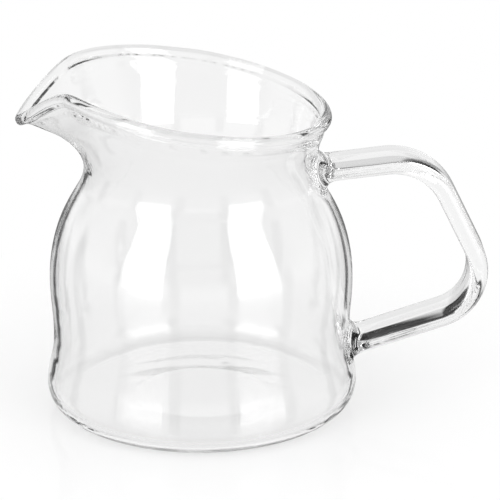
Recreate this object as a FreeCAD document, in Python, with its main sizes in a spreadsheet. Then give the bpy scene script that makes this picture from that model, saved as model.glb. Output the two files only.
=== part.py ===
import FreeCAD
import Part
import Sketcher
import math
import os

# A milk jug blown in one piece of clear glass. The base centre is the origin, +Z is up,
# the pouring lip points to -X and the handle to +X. All lengths are millimetres.

sizes = {
    # the glass itself
    "wall_thickness": 1.9,
    "base_thickness": 2.4,
    # round body: radius at each height where the wall stands upright
    "foot_radius": 43.0,
    "waist_radius": 41.0,
    "belly_radius": 41.8,
    "neck_radius": 31.8,
    # round body: height of each curve, from an upright place to where it turns and on
    "foot_height": 6.3,
    "foot_run": 5.4,
    "waist_run_below": 9.3,
    "waist_run_above": 8.0,
    "belly_run_below": 8.0,
    "belly_run_above": 25.2,
    "neck_run": 7.4,
    # inside of the foot: the wall's thickness there and the rounding between floor and wall
    "heel_thickness": 1.9,
    "heel_rounding": 4.2,
    "heel_run": 3.5,
    # ring mark pressed into the underside
    "mark_radius": 18.5,
    "mark_width": 3.0,
    "mark_depth": 0.1,
    # slanted rim: an ellipse on a plane that climbs from the handle to the lip
    "rim_rise": 19.0,
    "rim_slant": 9.4,
    "rim_half_length": 36.3,
    "rim_half_width": 37.7,
    "rim_shift": 2.2,
    "rim_flare": 20.0,
    "neck_straight": 5.0,
    "flare_straight": 5.7,
    "bead_radius": 1.68,
    # pouring lip, drawn out and down from the rim
    "lip_reach": 9.9,
    "lip_drop": 13.5,
    "lip_half_width": 14.2,
    "lip_tip_rounding": 3.5,
    "lip_corner_rounding": 3.5,
    "lip_climb": 14.0,
    "throat_height": 7.5,
    "channel_length": 8.0,
    # handle: how deep its centre line starts inside the neck's and the waist's sides and how far
    # below them, its corners out from these sides and up from its ends, bends, section and welds
    "handle_root": 5.0,
    "handle_top_drop": 2.86,
    "handle_foot_drop": 6.46,
    "handle_crown_reach": 30.5,
    "handle_crown_rise": 3.86,
    "handle_elbow_reach": 41.1,
    "handle_elbow_rise": 14.86,
    "crown_bend": 16.7,
    "elbow_bend": 14.0,
    "handle_width": 13.5,
    "handle_depth": 5.2,
    "handle_edge_flat": 0.3,
    "weld_rounding": 3.0,
}

# Heights and radii that follow from the sizes.
derived = {
    "foot_turn": "=foot_height + foot_run",
    "waist_height": "=foot_turn + waist_run_below",
    "belly_turn": "=waist_height + waist_run_above",
    "belly_height": "=belly_turn + belly_run_below",
    "neck_turn": "=belly_height + belly_run_above",
    "neck_height": "=neck_turn + neck_run",
    "heel_radius": "=foot_radius - heel_thickness",
    "heel_height": "=base_thickness + heel_rounding",
    "heel_turn": "=heel_height + heel_run",
    "core_radius": "=foot_radius - wall_thickness / 2",
    "core_height": "=foot_height",
    "core_turn": "=foot_turn",
    "core_top": "=neck_height + handle_depth",
    "rim_height": "=neck_height + rim_rise",
    "top_across": "=neck_radius - handle_root",
    "top_height": "=neck_height - handle_top_drop",
    "foot_across": "=waist_radius - handle_root",
    "foot_end_height": "=waist_height - handle_foot_drop",
    "crown_across": "=neck_radius + handle_crown_reach",
    "crown_height": "=top_height + handle_crown_rise",
    "elbow_across": "=waist_radius + handle_elbow_reach",
    "elbow_height": "=foot_end_height + handle_elbow_rise",
    "edge_rounding": "=(handle_depth - handle_edge_flat) / 2",
    "mark_rounding": "=(mark_width ^ 2 / 4 + mark_depth ^ 2) / (2 * mark_depth)",
    "mark_middle": "=mark_depth - mark_rounding",
}

doc = FreeCAD.newDocument("MilkJug")
sheet = doc.addObject("Spreadsheet::Sheet", "sizes")
for row, (name, value) in enumerate({**sizes, **derived}.items(), start=1):
    sheet.set("A%d" % row, name)
    sheet.set("B%d" % row, str(value))
    sheet.setAlias("B%d" % row, name)
doc.recompute()


def size(name):
    return float(getattr(sheet, name))


def polar(radius, turn, up):
    return FreeCAD.Vector(radius * math.cos(turn), radius * math.sin(turn), up)


def hold(sketch, kind, label, place, formula, *targets):
    """Dimension a sketch and tie the dimension to the sheet."""
    index = sketch.addConstraint(Sketcher.Constraint(kind, *targets, place))
    sketch.renameConstraint(index, label)
    sketch.setExpression("Constraints." + label, formula)


def holdPoint(sketch, label, geometry, end, across, up):
    point = sketch.getPoint(geometry, end)
    hold(sketch, "DistanceX", label + "_across", point.x, across, -1, 1, geometry, end)
    hold(sketch, "DistanceY", label + "_up", point.y, up, -1, 1, geometry, end)


def drawArc(sketch, centre, start, end):
    """Draw the shorter arc about a centre; give its number and which ends are start and end."""
    first = math.atan2(start.y - centre.y, start.x - centre.x)
    last = math.atan2(end.y - centre.y, end.x - centre.x)
    circle = Part.Circle(centre, FreeCAD.Vector(0, 0, 1), (start - centre).Length)
    if (last - first) % (2 * math.pi) > math.pi:
        return sketch.addGeometry(Part.ArcOfCircle(circle, last, first)), 2, 1
    return sketch.addGeometry(Part.ArcOfCircle(circle, first, last)), 1, 2


def drawSide(title, first, inset, insetFormula, floor, floorFormula):
    """Side of the round body up to the neck: tangent arcs, upright at each named place."""
    sketch = doc.addObject("Sketcher::SketchObject", title)
    place = FreeCAD.Vector(size(first + "_radius"), size(first + "_height"), 0)
    rounding = place.y - floor
    centre = FreeCAD.Vector(place.x - rounding, place.y, 0)
    bottom = FreeCAD.Vector(place.x - rounding, floor, 0)
    lowArc, lowStart, lowEnd = drawArc(sketch, centre, bottom, place)
    sketch.addConstraint([
        Sketcher.Constraint("Horizontal", lowArc, 3, lowArc, lowEnd),
        Sketcher.Constraint("Vertical", lowArc, 3, lowArc, lowStart),
    ])
    holdPoint(sketch, first, lowArc, lowEnd, "sizes." + first + "_radius", "sizes." + first + "_height")
    if floorFormula:
        hold(sketch, "DistanceY", "floor", floor, floorFormula, -1, 1, lowArc, lowStart)
    else:
        sketch.addConstraint(Sketcher.Constraint("PointOnObject", lowArc, lowStart, -1))
    last = (lowArc, lowEnd)
    for name, turnName in (("waist", first + "_turn"), ("belly", "belly_turn"), ("neck", "neck_turn")):
        target = FreeCAD.Vector(size(name + "_radius") - inset, size(name + "_height"), 0)
        across = target.x - place.x
        rise = target.y - place.y
        spread = (across ** 2 + rise ** 2) / (2 * across)
        share = (size(turnName) - place.y) / rise
        lower = FreeCAD.Vector(place.x + spread * share, place.y, 0)
        upper = FreeCAD.Vector(target.x - spread * (1 - share), target.y, 0)
        turn = lower + (upper - lower) * share
        firstArc, firstStart, firstEnd = drawArc(sketch, lower, place, turn)
        nextArc, nextStart, nextEnd = drawArc(sketch, upper, turn, target)
        sketch.addConstraint([
            Sketcher.Constraint("Coincident", *last, firstArc, firstStart),
            Sketcher.Constraint("Horizontal", firstArc, 3, firstArc, firstStart),
            Sketcher.Constraint("Tangent", firstArc, firstEnd, nextArc, nextStart),
            Sketcher.Constraint("Horizontal", nextArc, 3, nextArc, nextEnd),
        ])
        hold(sketch, "DistanceY", name + "_turn", turn.y, "sizes." + turnName, -1, 1, firstArc, firstEnd)
        holdPoint(sketch, name, nextArc, nextEnd, "sizes." + name + "_radius" + insetFormula,
                  "sizes." + name + "_height")
        place = target
        last = (nextArc, nextEnd)
    sketch.Placement = FreeCAD.Placement(FreeCAD.Vector(), FreeCAD.Rotation(0, 0, 90))
    return sketch, (lowArc, lowStart), last


outside = drawSide("outside_outline", "foot", 0, "", 0, "")[0]
inside = drawSide("inside_outline", "heel", size("wall_thickness"), " - sizes.wall_thickness",
                  size("base_thickness"), "sizes.base_thickness")[0]

# The core fills the body as far as the middle of its wall, and the handle's ends stop at it.
half = size("wall_thickness") / 2
middle, floorEnd, neckEnd = drawSide("core_outline", "core", half, " - sizes.wall_thickness / 2",
                                     size("base_thickness") / 2, "sizes.base_thickness / 2")
corners = [
    middle.getPoint(*floorEnd),
    FreeCAD.Vector(0, size("base_thickness") / 2, 0),
    FreeCAD.Vector(0, size("core_top"), 0),
    FreeCAD.Vector(size("neck_radius") - half, size("core_top"), 0),
    middle.getPoint(*neckEnd),
]
lines = [middle.addGeometry(Part.LineSegment(a, b)) for a, b in zip(corners[:-1], corners[1:])]
middle.addConstraint([
    Sketcher.Constraint("Coincident", *floorEnd, lines[0], 1),
    Sketcher.Constraint("Coincident", lines[0], 2, lines[1], 1),
    Sketcher.Constraint("Coincident", lines[1], 2, lines[2], 1),
    Sketcher.Constraint("Coincident", lines[2], 2, lines[3], 1),
    Sketcher.Constraint("Coincident", lines[3], 2, *neckEnd),
    Sketcher.Constraint("PointOnObject", lines[0], 2, -2),
    Sketcher.Constraint("PointOnObject", lines[1], 2, -2),
    Sketcher.Constraint("Horizontal", lines[0]),
    Sketcher.Constraint("Horizontal", lines[2]),
    Sketcher.Constraint("Vertical", lines[3]),
])
hold(middle, "DistanceY", "top", size("core_top"), "sizes.core_top", -1, 1, lines[1], 2)
core = doc.addObject("Part::Revolution", "core")
core.Source = middle
core.Axis = (0, 0, 1)
core.Solid = True
doc.recompute()


def sidePoints(sketch, pieces):
    """Points up the side of the body, each arc cut into equal pieces."""
    points = []
    for arc in sketch.Geometry:
        along = sorted(arc.discretize(Number=pieces + 1), key=lambda point: point.y)
        points += along[1:] if points else along
    return points


tinyStep = 0.0001


def lipShare(across):
    """How far the rim is drawn into the lip, from 1 at the tip to 0 past the corners."""
    tip = size("lip_tip_rounding")
    widest = math.hypot(size("lip_half_width"), tip) - tip
    corner = size("lip_corner_rounding") / widest
    slack = 1 - (math.hypot(across, tip) - tip) / widest
    return (math.hypot(slack, corner) + slack) / (math.hypot(1, corner) + 1)


def rimPoint(turn):
    """Middle of the rim bead at an angle about the jug, and its share of the lip."""
    across = size("rim_half_width") * math.sin(turn)
    along = size("rim_half_length") * math.cos(turn) - size("rim_shift")
    share = lipShare(across) if math.cos(turn) < 0 else 0
    along -= size("lip_reach") * share
    up = size("rim_height") - along * math.tan(math.radians(size("rim_slant")))
    return FreeCAD.Vector(along, across, up - size("lip_drop") * share), share


def wallMiddle(turn, rise):
    """Middle of the mouth's wall: it leaves the neck upright and leans out to the rim."""
    foot = polar(size("neck_radius") - size("wall_thickness") / 2, turn, size("neck_height"))
    rim, share = rimPoint(turn)
    flare = math.radians(size("rim_flare"))
    climb = math.radians(size("lip_climb"))
    lean = polar(math.sin(flare), turn, math.cos(flare)) * (1 - share)
    lean += polar(math.cos(climb), math.pi, math.sin(climb)) * share
    lean.normalize()
    straight = size("neck_straight") * (1 - share) + size("throat_height") * share
    lower = foot + FreeCAD.Vector(0, 0, straight)
    upper = rim - lean * (size("flare_straight") * (1 - share) + size("channel_length") * share)
    left = 1 - rise
    return (foot * left ** 3 + lower * (3 * left ** 2 * rise)
            + upper * (3 * left * rise ** 2) + rim * rise ** 3)


def wallPoint(turn, rise, depth):
    """A point of the mouth at a depth outward from the middle of its wall."""
    around = wallMiddle(turn + tinyStep, rise) - wallMiddle(turn - tinyStep, rise)
    upward = wallMiddle(turn, min(rise + tinyStep, 1)) - wallMiddle(turn, max(rise - tinyStep, 0))
    return wallMiddle(turn, rise) + around.cross(upward).normalize() * depth


def beadPoint(turn, roll):
    """A point on the rim bead, rolled from its outside over the top to its inside."""
    rim = rimPoint(turn)[0]
    outward = (wallPoint(turn, 1, 1) - rim).normalize()
    upward = (rim - wallMiddle(turn, 1 - tinyStep)).normalize()
    return rim + (outward * math.cos(roll) + upward * math.sin(roll)) * size("bead_radius")


def throughPoints(points, stops, leaving, arriving):
    curve = Part.BSplineCurve()
    curve.interpolate(Points=points, Parameters=stops, Scale=False,
                      InitialTangent=leaving, FinalTangent=arriving)
    return curve


columns = 48
lipGather = 0.5
stops = [column / columns for column in range(columns + 1)]


def ringPoles(pointAt):
    """Poles of a smooth closed ring, with its points drawn together towards the lip."""
    def place(stop):
        even = 2 * math.pi * stop
        return pointAt(even + lipGather * math.sin(even))

    points = [place(stop) for stop in stops[:-1]]
    along = (place(tinyStep) - place(-tinyStep)) / (2 * tinyStep)
    return throughPoints(points + points[:1], stops, along, along).getPoles()


rises = [0.2, 0.4, 0.6, 0.8]
arcPieces = 3
beadPieces = 5
under = math.acos(half / size("bead_radius"))
rolls = [(math.pi + 2 * under) * piece / beadPieces - under for piece in range(beadPieces + 1)]
outsidePoints = sidePoints(outside, arcPieces)
insidePoints = sidePoints(inside, arcPieces)

# Rings of the skin, up the outside, over the bead and down the inside to the floor.
rings = [ringPoles(lambda turn: polar(point.x, turn, point.y)) for point in outsidePoints]
rings += [ringPoles(lambda turn: wallPoint(turn, rise, half)) for rise in rises]
rings += [ringPoles(lambda turn: beadPoint(turn, roll)) for roll in rolls]
rings += [ringPoles(lambda turn: wallPoint(turn, rise, -half)) for rise in reversed(rises)]
rings += [ringPoles(lambda turn: polar(point.x, turn, point.y)) for point in reversed(insidePoints)]

# The skin's second direction runs by the mean distance from ring to ring.
distances = [0]
for ring, following in zip(rings[:-1], rings[1:]):
    gaps = [(after - before).Length for before, after in zip(ring, following)]
    distances.append(distances[-1] + sum(gaps) / len(gaps))
spread = ringPoles(lambda turn: polar(1, turn, 0))
lines = []
for column, outward in enumerate(spread):
    line = [ring[column] for ring in rings]
    lines.append(throughPoints(line, distances, outward, outward * -1).getPoles())
surface = Part.BSplineSurface()
surface.buildFromPolesMultsKnots(
    lines,
    [4] + [1] * (len(stops) - 2) + [4],
    [4] + [1] * (len(distances) - 2) + [4],
    stops, distances, False, False, 3, 3)

# The skin is cut at the neck and at the bead, on its outside and on its inside.
neckOut = len(outsidePoints) - 1
beadOut = neckOut + len(rises) + 1
beadIn = beadOut + beadPieces
neckIn = beadIn + len(rises) + 1
cuts = [0, neckOut, beadOut, beadIn, neckIn, len(distances) - 1]
faces = []
for lower, upper in zip(cuts[:-1], cuts[1:]):
    part = surface.copy()
    part.segment(0, 1, distances[lower], distances[upper])
    faces.append(part.toShape())
for face in (faces[0], faces[-1]):
    lowest = min(face.Edges, key=lambda edge: edge.BoundBox.ZMax)
    faces.append(Part.Face(Part.Wire([lowest])))
shell = Part.makeShell(faces)
shell.sewShape()
wall = doc.addObject("Part::Feature", "blown_wall")
wall.Shape = Part.makeSolid(shell)

# A shallow ring mark in the underside, cut by a ring that lies mostly below the base.
ring = doc.addObject("Part::Torus", "ring_mark")
ring.setExpression("Radius1", "sizes.mark_radius")
ring.setExpression("Radius2", "sizes.mark_rounding")
ring.setExpression("Placement.Base.z", "sizes.mark_middle")
marked = doc.addObject("Part::Cut", "marked_wall")
marked.Base = wall
marked.Tool = ring

handle = doc.addObject("PartDesign::Body", "handle")


def originPlane(body, role):
    for feature in body.Origin.OriginFeatures:
        if feature.Role == role:
            return feature


def bend(before, corner, after, radius):
    """Where a bend of a given radius at a corner starts, its centre and where it ends."""
    back = (before - corner).normalize()
    onward = (after - corner).normalize()
    halfAngle = back.getAngle(onward) / 2
    centre = corner + (back + onward).normalize() * (radius / math.sin(halfAngle))
    reach = radius / math.tan(halfAngle)
    return corner + back * reach, centre, corner + onward * reach


path = handle.newObject("Sketcher::SketchObject", "handle_line")
path.AttachmentSupport = [(originPlane(handle, "XZ_Plane"), "")]
path.MapMode = "FlatFace"
upperEnd = FreeCAD.Vector(size("top_across"), size("top_height"), 0)
crown = FreeCAD.Vector(size("crown_across"), size("crown_height"), 0)
elbow = FreeCAD.Vector(size("elbow_across"), size("elbow_height"), 0)
lowerEnd = FreeCAD.Vector(size("foot_across"), size("foot_end_height"), 0)
crownIn, crownCentre, crownOut = bend(upperEnd, crown, elbow, size("crown_bend"))
elbowIn, elbowCentre, elbowOut = bend(crown, elbow, lowerEnd, size("elbow_bend"))
topRun = path.addGeometry(Part.LineSegment(upperEnd, crownIn))
crownArc, crownStart, crownEnd = drawArc(path, crownCentre, crownIn, crownOut)
gripRun = path.addGeometry(Part.LineSegment(crownOut, elbowIn))
elbowArc, elbowStart, elbowEnd = drawArc(path, elbowCentre, elbowIn, elbowOut)
footRun = path.addGeometry(Part.LineSegment(elbowOut, lowerEnd))
crownPoint = path.addGeometry(Part.Point(crown), True)
elbowPoint = path.addGeometry(Part.Point(elbow), True)
path.addConstraint([
    Sketcher.Constraint("Tangent", topRun, 2, crownArc, crownStart),
    Sketcher.Constraint("Tangent", crownArc, crownEnd, gripRun, 1),
    Sketcher.Constraint("Tangent", gripRun, 2, elbowArc, elbowStart),
    Sketcher.Constraint("Tangent", elbowArc, elbowEnd, footRun, 1),
    Sketcher.Constraint("PointOnObject", crownPoint, 1, topRun),
    Sketcher.Constraint("PointOnObject", crownPoint, 1, gripRun),
    Sketcher.Constraint("PointOnObject", elbowPoint, 1, gripRun),
    Sketcher.Constraint("PointOnObject", elbowPoint, 1, footRun),
])
holdPoint(path, "upper_end", topRun, 1, "sizes.top_across", "sizes.top_height")
holdPoint(path, "crown", crownPoint, 1, "sizes.crown_across", "sizes.crown_height")
holdPoint(path, "elbow", elbowPoint, 1, "sizes.elbow_across", "sizes.elbow_height")
holdPoint(path, "lower_end", footRun, 2, "sizes.foot_across", "sizes.foot_end_height")
hold(path, "Radius", "crown_bend", size("crown_bend"), "sizes.crown_bend", crownArc)
hold(path, "Radius", "elbow_bend", size("elbow_bend"), "sizes.elbow_bend", elbowArc)
doc.recompute()

section = handle.newObject("Sketcher::SketchObject", "handle_section")
section.AttachmentSupport = [(path, "Edge1")]
section.MapMode = "NormalToEdge"
rounding = size("edge_rounding")
halfWidth = size("handle_width") / 2 - rounding
halfDepth = size("handle_depth") / 2 - rounding
arcs = []
for quarter, (x, y) in enumerate([(1, 1), (-1, 1), (-1, -1), (1, -1)]):
    centre = FreeCAD.Vector(x * halfWidth, y * halfDepth, 0)
    circle = Part.Circle(centre, FreeCAD.Vector(0, 0, 1), rounding)
    start = quarter * math.pi / 2
    arcs.append(section.addGeometry(Part.ArcOfCircle(circle, start, start + math.pi / 2)))
sides = []
for arc, following in zip(arcs, arcs[1:] + arcs[:1]):
    line = Part.LineSegment(section.getPoint(arc, 2), section.getPoint(following, 1))
    sides.append(section.addGeometry(line))
    section.addConstraint([
        Sketcher.Constraint("Tangent", arc, 2, sides[-1], 1),
        Sketcher.Constraint("Tangent", sides[-1], 2, following, 1),
    ])
section.addConstraint([
    Sketcher.Constraint("Equal", arcs[0], arcs[1]),
    Sketcher.Constraint("Equal", arcs[1], arcs[2]),
    Sketcher.Constraint("Equal", arcs[2], arcs[3]),
    Sketcher.Constraint("Horizontal", sides[0]),
    Sketcher.Constraint("Vertical", sides[1]),
    Sketcher.Constraint("Horizontal", sides[2]),
    Sketcher.Constraint("Vertical", sides[3]),
    Sketcher.Constraint("Symmetric", arcs[0], 3, arcs[2], 3, -1, 1),
])
hold(section, "Radius", "edge_rounding", rounding, "sizes.edge_rounding", arcs[0])
hold(section, "DistanceX", "width", size("handle_width"), "sizes.handle_width", sides[1], 1, sides[3], 2)
hold(section, "DistanceY", "depth", size("handle_depth"), "sizes.handle_depth", sides[2], 1, sides[0], 2)
bar = handle.newObject("PartDesign::AdditivePipe", "bent_bar")
bar.Profile = section
bar.Spine = (path, ["Edge1", "Edge2", "Edge3", "Edge4", "Edge5"])
doc.recompute()

trimmed = doc.addObject("Part::Cut", "trimmed_handle")
trimmed.Base = handle
trimmed.Tool = core
joined = doc.addObject("Part::MultiFuse", "wall_and_handle")
joined.Shapes = [marked, trimmed]
doc.recompute()


def isWall(face):
    """Only the wall has free-form faces larger than those of the handle's bends."""
    return isinstance(face.Surface, Part.BSplineSurface) and face.Area > size("handle_width") ** 2


# Where the handle's two ends meet the wall, the melted glass rounds the corner.
seams = []
for number, edge in enumerate(joined.Shape.Edges, start=1):
    owners = joined.Shape.ancestorsOfType(edge, Part.Face)
    if len(owners) == 2 and isWall(owners[0]) != isWall(owners[1]):
        if edge.CenterOfMass.x > size("handle_width"):
            seams.append((number, size("weld_rounding"), size("weld_rounding")))
jug = doc.addObject("Part::Fillet", "jug")
jug.Label = "glass_jug"
jug.Base = joined
jug.Edges = seams
doc.recompute()

for item in doc.Objects:
    if "Invalid" in item.State or "Error" in item.State:
        raise RuntimeError(item.Name + " did not build")
solid = jug.Shape
if solid.isNull() or not solid.isValid() or len(solid.Solids) != 1:
    raise RuntimeError("glass_jug is not one sound solid")
print("seam edges", len(seams), "volume", round(solid.Volume / 1000, 2), "ml")
print("bounds", solid.optimalBoundingBox(False))

os.makedirs("parts", exist_ok=True)
solid.exportStep("parts/" + jug.Label + ".step")
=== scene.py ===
import math

import bmesh
import bpy
from mathutils import Matrix, Vector

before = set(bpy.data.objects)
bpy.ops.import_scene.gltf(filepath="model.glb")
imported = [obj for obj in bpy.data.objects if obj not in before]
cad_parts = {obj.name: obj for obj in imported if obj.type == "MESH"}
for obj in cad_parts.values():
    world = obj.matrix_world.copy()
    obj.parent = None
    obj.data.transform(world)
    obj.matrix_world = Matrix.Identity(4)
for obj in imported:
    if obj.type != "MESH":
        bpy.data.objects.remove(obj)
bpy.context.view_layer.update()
print("frame loaded:", ", ".join(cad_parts))

scene = bpy.context.scene
scene.view_settings.view_transform = "Standard"


# adds one node; an input is a plain value, or the output socket that feeds it
def addNode(tree, kind, settings=None, inputs=None):
    node = tree.nodes.new(kind)
    for name, value in (settings or {}).items():
        setattr(node, name, value)
    for name, value in (inputs or {}).items():
        if isinstance(value, bpy.types.NodeSocket):
            tree.links.new(value, node.inputs[name])
        else:
            node.inputs[name].default_value = value
    return node


# turns an sRGB hex colour into the linear one that the shaders want
def linearColour(hexText):
    parts = [int(hexText[i:i + 2], 16) / 255 for i in (1, 3, 5)]
    return [p / 12.92 if p <= 0.04045 else ((p + 0.055) / 1.055) ** 2.4 for p in parts] + [1.0]


def newMaterial(name):
    material = bpy.data.materials.new(name)
    material.use_nodes = True
    material.node_tree.nodes.clear()
    return material


# the jug: borosilicate tube, blown and worked in the flame, so the skin is perfectly
# glossy and clear, and only very slow waves in the wall bend what it mirrors
glass = {
    "tint": "#FCFCFC",        # borosilicate is almost free of colour
    "ior": 1.473,             # borosilicate 3.3
    "roughness": 0.0,         # flame-polished
    "waveLength": 0.016,      # metres between the waves that blowing leaves in the wall
    "waveHeight": 0.00002,    # metres, just enough to bend a mirrored edge
    "waveDetail": 1.0,
    "waveRoughness": 0.4,
    "seamGap": 0.000001,      # metres, the faces of the solid meet and are shaded as one skin
}


def blownGlass():
    material = newMaterial("flame_polished_borosilicate")
    tree = material.node_tree
    place = addNode(tree, "ShaderNodeTexCoord").outputs["Object"]
    ripples = addNode(tree, "ShaderNodeTexNoise", {"noise_dimensions": "3D"}, {
        "Vector": place, "Scale": 1 / glass["waveLength"],
        "Detail": glass["waveDetail"], "Roughness": glass["waveRoughness"]})
    bump = addNode(tree, "ShaderNodeBump", {}, {
        "Strength": 1.0, "Distance": glass["waveHeight"], "Height": ripples.outputs[0]})
    shader = addNode(tree, "ShaderNodeBsdfPrincipled", {}, {
        "Base Color": linearColour(glass["tint"]), "Roughness": glass["roughness"],
        "IOR": glass["ior"], "Transmission Weight": 1.0, "Normal": bump.outputs[0]})
    addNode(tree, "ShaderNodeOutputMaterial", {}, {"Surface": shader.outputs[0]})
    return material


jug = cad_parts["glass_jug"]
jug.data.materials.clear()
jug.data.materials.append(blownGlass())
seams = jug.modifiers.new("joined_seams", "WELD")
seams.merge_threshold = glass["seamGap"]
shading = jug.modifiers.new("even_shading", "WEIGHTED_NORMAL")
shading.mode = "CORNER_ANGLE"
print("glass done")

# the table: glossy white acrylic, which gives the soft mirror image below the foot
table = {
    "half": 3.0,                # metres from its middle to its edge
    "drop": 0.0002,             # metres below the jug's foot, so the faces don't fight
    "colour": "#F4F4F4",
    "paintedShade": "#606060",      # painted shade: the table as the glass mirrors it, darker away from the lamps
    "paintedShadeFrom": (0.048, 0.075),   # metres from the middle, where the painted shade fades in
    "gloss": 0.06,
    "fade": (0.05, 0.13),       # metres from the middle, where its picture turns to pure white
    "fadeStart": 0.6,
}


def whiteAcrylic():
    material = newMaterial("white_acrylic")
    tree = material.node_tree
    rays = addNode(tree, "ShaderNodeLightPath").outputs
    place = addNode(tree, "ShaderNodeTexCoord").outputs["Object"]
    away = addNode(tree, "ShaderNodeVectorMath", {"operation": "LENGTH"}, {0: place}).outputs["Value"]
    outer = addNode(tree, "ShaderNodeMapRange", {"interpolation_type": "SMOOTHSTEP"}, {
        "Value": away, "From Min": table["paintedShadeFrom"][0], "From Max": table["paintedShadeFrom"][1]})
    # painted shade: only rays mirrored off the glass see the table darker, beyond the foot
    paintedShadeMask = addNode(tree, "ShaderNodeMath", {"operation": "MULTIPLY"}, {
        0: rays["Is Glossy Ray"], 1: outer.outputs[0]})
    colour = addNode(tree, "ShaderNodeMix", {"data_type": "RGBA"}, {
        0: paintedShadeMask.outputs[0], 6: linearColour(table["colour"]), 7: linearColour(table["paintedShade"])})
    acrylic = addNode(tree, "ShaderNodeBsdfPrincipled", {}, {
        "Base Color": colour.outputs[2], "Roughness": table["gloss"]})
    white = addNode(tree, "ShaderNodeEmission", {}, {
        "Color": linearColour("#FFFFFF"), "Strength": 1.0})
    fade = addNode(tree, "ShaderNodeMapRange", {"interpolation_type": "SMOOTHSTEP"}, {
        "Value": away, "From Min": table["fade"][0], "From Max": table["fade"][1],
        "To Min": table["fadeStart"]})
    seen = addNode(tree, "ShaderNodeMath", {"operation": "MULTIPLY"}, {
        0: fade.outputs[0], 1: rays["Is Camera Ray"]})
    surface = addNode(tree, "ShaderNodeMixShader", {}, {
        0: seen.outputs[0], 1: acrylic.outputs[0], 2: white.outputs[0]})
    addNode(tree, "ShaderNodeOutputMaterial", {}, {"Surface": surface.outputs[0]})
    return material


plane = bpy.data.meshes.new("floor")
shape = bmesh.new()
bmesh.ops.create_grid(shape, x_segments=1, y_segments=1, size=table["half"])
shape.to_mesh(plane)
shape.free()
floor = bpy.data.objects.new("floor", plane)
floor.location.z = -table["drop"]
scene.collection.objects.link(floor)
plane.materials.append(whiteAcrylic())
floor.visible_transmission = False    # light through the glass meets the white boards below
print("table done")

# the room, as it shows in the glass: brightness by degrees to the right of straight behind
# the jug, and heights as the sine of the angle above it
room = {
    "fill": 0.95,               # the room as it lights the table
    "panels": [(-180, 0.4), (-115, 0.4), (-95, 0.8), (-56, 0.85), (-49, 0.03), (-21, 0.03),
               (-17, 1.0), (-12, 0.97), (22, 0.97), (27, 0.8), (31, 0.35), (38, 0.15),
               (43, 0.03), (58, 0.03), (68, 0.85), (95, 0.85), (115, 0.4), (180, 0.4)],
    "ceilingFrom": (0.1, 0.6),  # between these heights the panels turn to ceiling
    "ceiling": 0.75,
    "horizon": (0.05, 0.2),     # below these heights, white boards stand around the table
    "board": 0.97,
    "gap": 0.03,                # the dark gaps draw the thin dark edges of clear glass
    # middle of each gap and half its width, in degrees: one each side of every eighth of a turn,
    # so that the jug looks clear from all sides
    "gaps": {-157.5: 6, -112.5: 6, -67.5: 6, -24: 6.5, 32: 5, 67.5: 6, 112.5: 6, 157.5: 6},
    "tableFrom": (-0.42, -0.56),   # and between these heights the boards turn to table
    "table": 0.84,
}

world = bpy.data.worlds.new("studio")
scene.world = world
world.use_nodes = True
tree = world.node_tree
tree.nodes.clear()
rays = addNode(tree, "ShaderNodeLightPath").outputs
heading = addNode(tree, "ShaderNodeTexCoord").outputs["Generated"]
across, along, upward = addNode(tree, "ShaderNodeSeparateXYZ", {}, {0: heading}).outputs
turn = addNode(tree, "ShaderNodeMath", {"operation": "ARCTAN2"}, {0: across, 1: along})
share = addNode(tree, "ShaderNodeMapRange", {}, {
    "Value": turn.outputs[0], "From Min": -math.pi, "From Max": math.pi})

gapLevels = []
for middle, half in room["gaps"].items():
    gapLevels += [(middle - half, room["board"]), (middle - half / 2, room["gap"]),
                  (middle + half / 2, room["gap"]), (middle + half, room["board"])]
panels = addNode(tree, "ShaderNodeValToRGB", {}, {0: share.outputs[0]})
boards = addNode(tree, "ShaderNodeValToRGB", {}, {0: share.outputs[0]})
for ramp, levels in ((panels, room["panels"]), (boards, gapLevels)):
    stops = ramp.color_ramp.elements
    while len(stops) < len(levels):
        stops.new(0.5)
    for stop, (degrees, level) in zip(stops, levels):
        stop.position = (degrees + 180) / 360
        stop.color = (level, level, level, 1)

ceiling = addNode(tree, "ShaderNodeMapRange", {"interpolation_type": "SMOOTHSTEP"}, {
    "Value": upward, "From Min": room["ceilingFrom"][0], "From Max": room["ceilingFrom"][1],
    "To Min": 1.0, "To Max": room["ceiling"]})
upper = addNode(tree, "ShaderNodeMath", {"operation": "MULTIPLY"}, {
    0: panels.outputs[0], 1: ceiling.outputs[0]})
steep = addNode(tree, "ShaderNodeMapRange", {"interpolation_type": "SMOOTHSTEP"}, {
    "Value": upward, "From Min": room["tableFrom"][0], "From Max": room["tableFrom"][1]})
lower = addNode(tree, "ShaderNodeMix", {"data_type": "FLOAT"}, {
    0: steep.outputs[0], 2: boards.outputs[0], 3: room["table"]})
above = addNode(tree, "ShaderNodeMapRange", {"interpolation_type": "SMOOTHSTEP"}, {
    "Value": upward, "From Min": room["horizon"][0], "From Max": room["horizon"][1]})
shown = addNode(tree, "ShaderNodeMix", {"data_type": "FLOAT"}, {
    0: above.outputs[0], 2: lower.outputs[0], 3: upper.outputs[0]})
inGlass = addNode(tree, "ShaderNodeMath", {"operation": "MAXIMUM"}, {
    0: rays["Is Transmission Ray"], 1: rays["Is Glossy Ray"]})
lit = addNode(tree, "ShaderNodeMix", {"data_type": "FLOAT"}, {
    0: inGlass.outputs[0], 2: room["fill"], 3: shown.outputs[0]})
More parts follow.
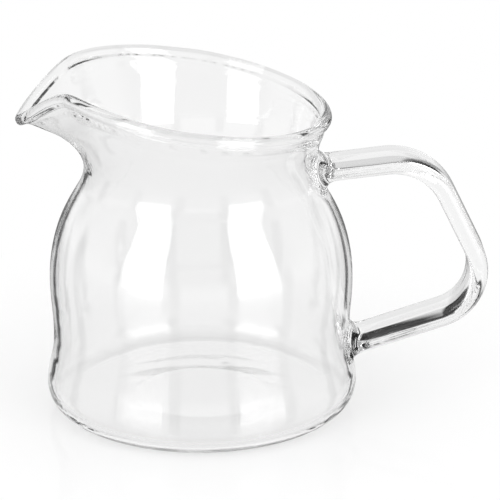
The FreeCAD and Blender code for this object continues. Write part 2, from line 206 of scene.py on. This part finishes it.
backdrop = addNode(tree, "ShaderNodeMix", {"data_type": "FLOAT"}, {
    0: rays["Is Camera Ray"], 2: lit.outputs[0], 3: 1.0})
sky = addNode(tree, "ShaderNodeBackground", {}, {
    "Color": linearColour("#FFFFFF"), "Strength": backdrop.outputs[0]})
addNode(tree, "ShaderNodeOutputWorld", {}, {"Surface": sky.outputs[0]})
print("room done")

# the two lamps, which the jug's front mirrors as two tall windows
softBoxes = {
    "turns": {"left": -48, "right": 42},    # degrees from the front
    "width": 0.62,
    "height": 1.0,
    "distance": 1.0,
    "level": 3.0,                           # brightness, white is 1
}
for name, degrees in softBoxes["turns"].items():
    light = bpy.data.lights.new("soft_box_" + name, "AREA")
    light.shape = "RECTANGLE"
    light.size = softBoxes["width"]
    light.size_y = softBoxes["height"]
    light.energy = softBoxes["level"] * math.pi * softBoxes["width"] * softBoxes["height"]
    lamp = bpy.data.objects.new("soft_box_" + name, light)
    scene.collection.objects.link(lamp)
    angle = math.radians(degrees)
    outward = Vector((math.sin(angle), -math.cos(angle), 0))
    lamp.location = outward * softBoxes["distance"]
    lamp.location.z = softBoxes["height"] / 2
    lamp.rotation_euler = outward.to_track_quat("Z", "Y").to_euler()
    lamp.visible_camera = False
print("lamps done")

shot = {
    "place": (-0.0293, -0.8403, 0.3609),
    "right": (0.9987, -0.0516, -0.0019),    # fitted to the jug's outline
    "up": (0.0200, 0.3521, 0.9357),
    "lens": 234.66,
    "sensor": 36.0,
    "reach": 50,                # metres
}
camera = bpy.data.objects.new("camera", bpy.data.cameras.new("camera"))
scene.collection.objects.link(camera)
scene.camera = camera
camera.data.lens = shot["lens"]
camera.data.sensor_width = shot["sensor"]
camera.data.clip_end = shot["reach"]
right = Vector(shot["right"]).normalized()
back = right.cross(Vector(shot["up"])).normalized()
turned = Matrix((right, back.cross(right), back)).transposed().to_4x4()
camera.matrix_world = Matrix.Translation(shot["place"]) @ turned

# light goes round many times inside the lip's tip and the welds, and fewer turns leave them black
bounces = 48
scene.cycles.max_bounces = bounces
scene.cycles.transmission_bounces = bounces
scene.cycles.glossy_bounces = bounces
print("camera done")
